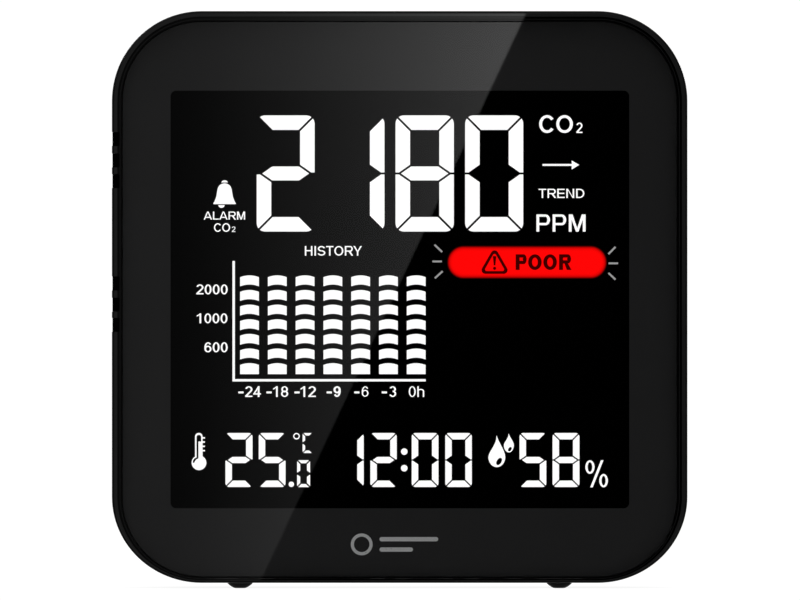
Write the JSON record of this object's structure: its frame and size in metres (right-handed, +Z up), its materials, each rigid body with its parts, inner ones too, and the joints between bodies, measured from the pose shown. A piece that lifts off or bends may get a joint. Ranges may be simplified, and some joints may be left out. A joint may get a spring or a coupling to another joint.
{
  "type": "carbon dioxide monitor",
  "caption": "Square desktop air monitor: black case with a full-width glossy front lens over a segment display, side air slots, rear keys and charging socket, on short feet.",
  "frame": {"origin": "middle of the body's footprint, on the plane that the four feet stand on", "axes": "+X to the right seen from the front, +Y from the front lens to the back, +Z up"},
  "size_m": [0.1, 0.0326, 0.1003],
  "materials": {
    "case_plastic": "fine matt moulded texture",
    "key_plastic": "fine matt moulded texture",
    "lens_acrylic": "polished, with a dark printed border on its back",
    "adhesive_tape": "matt foam tape",
    "polariser_film": "smooth dark film",
    "display_glass": "polished",
    "white_film": "white film",
    "light_guide_acrylic": "polished clear",
    "white_plastic": "smooth white moulding",
    "silicone_rubber": "matt",
    "circuit_board": "solder mask over glass fibre laminate",
    "chip_epoxy": "matt moulded epoxy",
    "gold_plated_chamber": "gold plated",
    "white_membrane": "felt-like membrane",
    "plated_steel": "nickel plated",
    "black_screw_steel": "black oxide",
    "aluminium_pouch": "satin foil pouch",
    "cream_connector": "cream moulding",
    "red_wire": "smooth insulation",
    "black_wire": "smooth insulation",
    "ribbon_film": "flexible flat cable",
    "black_rubber": "matt",
    "filter_foam": "open-cell foam",
    "plain_label": "blank printed film"
  },
  "bodies": {
    "case": {"front_bezel": "case_plastic", "rear_cover": "case_plastic", "front_lens": "lens_acrylic", "lens_tape": "adhesive_tape", "front_polariser": "polariser_film", "rear_polariser": "polariser_film", "lcd_front_glass": "display_glass", "lcd_rear_glass": "display_glass", "diffuser_sheet": "white_film", "reflector_sheet": "white_film", "light_guide": "light_guide_acrylic", "backlight_led_bar": "circuit_board", "lcd_tray": "white_plastic", "zebra_strip": "silicone_rubber", "main_board": "circuit_board", "controller_chip": "chip_epoxy", "humidity_sensor": "chip_epoxy", "co2_sensor_header": "chip_epoxy", "co2_sensor_board": "circuit_board", "co2_sensor_chamber": "gold_plated_chamber", "co2_sensor_membrane": "white_membrane", "buzzer": "chip_epoxy", "battery_socket": "cream_connector", "battery_plug": "cream_connector", "ribbon_socket_main": "cream_connector", "ribbon_socket_rear": "cream_connector", "ribbon_cable": "ribbon_film", "battery_cell": "aluminium_pouch", "battery_tape": "adhesive_tape", "battery_lead_positive": "red_wire", "battery_lead_negative": "black_wire", "rear_board": "circuit_board", "usb_socket": "plated_steel", "rating_label": "plain_label", "dust_filter": "filter_foam", "tact_switch_1": "chip_epoxy", "case_screw_1": "black_screw_steel", "board_screw_1": "plated_steel", "foot_1": "black_rubber", "tact_switch_2": "chip_epoxy", "case_screw_2": "black_screw_steel", "board_screw_2": "plated_steel", "foot_2": "black_rubber", "tact_switch_3": "chip_epoxy", "case_screw_3": "black_screw_steel", "board_screw_3": "plated_steel", "foot_3": "black_rubber", "tact_switch_4": "chip_epoxy", "case_screw_4": "black_screw_steel", "board_screw_4": "plated_steel", "foot_4": "black_rubber"},
    "mode_key": {"key_mode": "key_plastic", "switch_plunger_1": "white_plastic"},
    "up_key": {"key_up": "key_plastic", "switch_plunger_2": "white_plastic"},
    "down_key": {"key_down": "key_plastic", "switch_plunger_3": "white_plastic"},
    "light_key": {"key_light": "key_plastic", "switch_plunger_4": "white_plastic"}
  },
  "joints": [
    {"name": "mode_key_press", "type": "slide", "parent": "case", "child": "mode_key", "axis": [0, -1, 0], "range_m": [0, 0.0005], "stiffness_N_per_m": 1500},
    {"name": "up_key_press", "type": "slide", "parent": "case", "child": "up_key", "axis": [0, -1, 0], "range_m": [0, 0.0005], "stiffness_N_per_m": 1500},
    {"name": "down_key_press", "type": "slide", "parent": "case", "child": "down_key", "axis": [0, -1, 0], "range_m": [0, 0.0005], "stiffness_N_per_m": 1500},
    {"name": "light_key_press", "type": "slide", "parent": "case", "child": "light_key", "axis": [0, -1, 0], "range_m": [0, 0.0005], "stiffness_N_per_m": 1500}
  ]
}
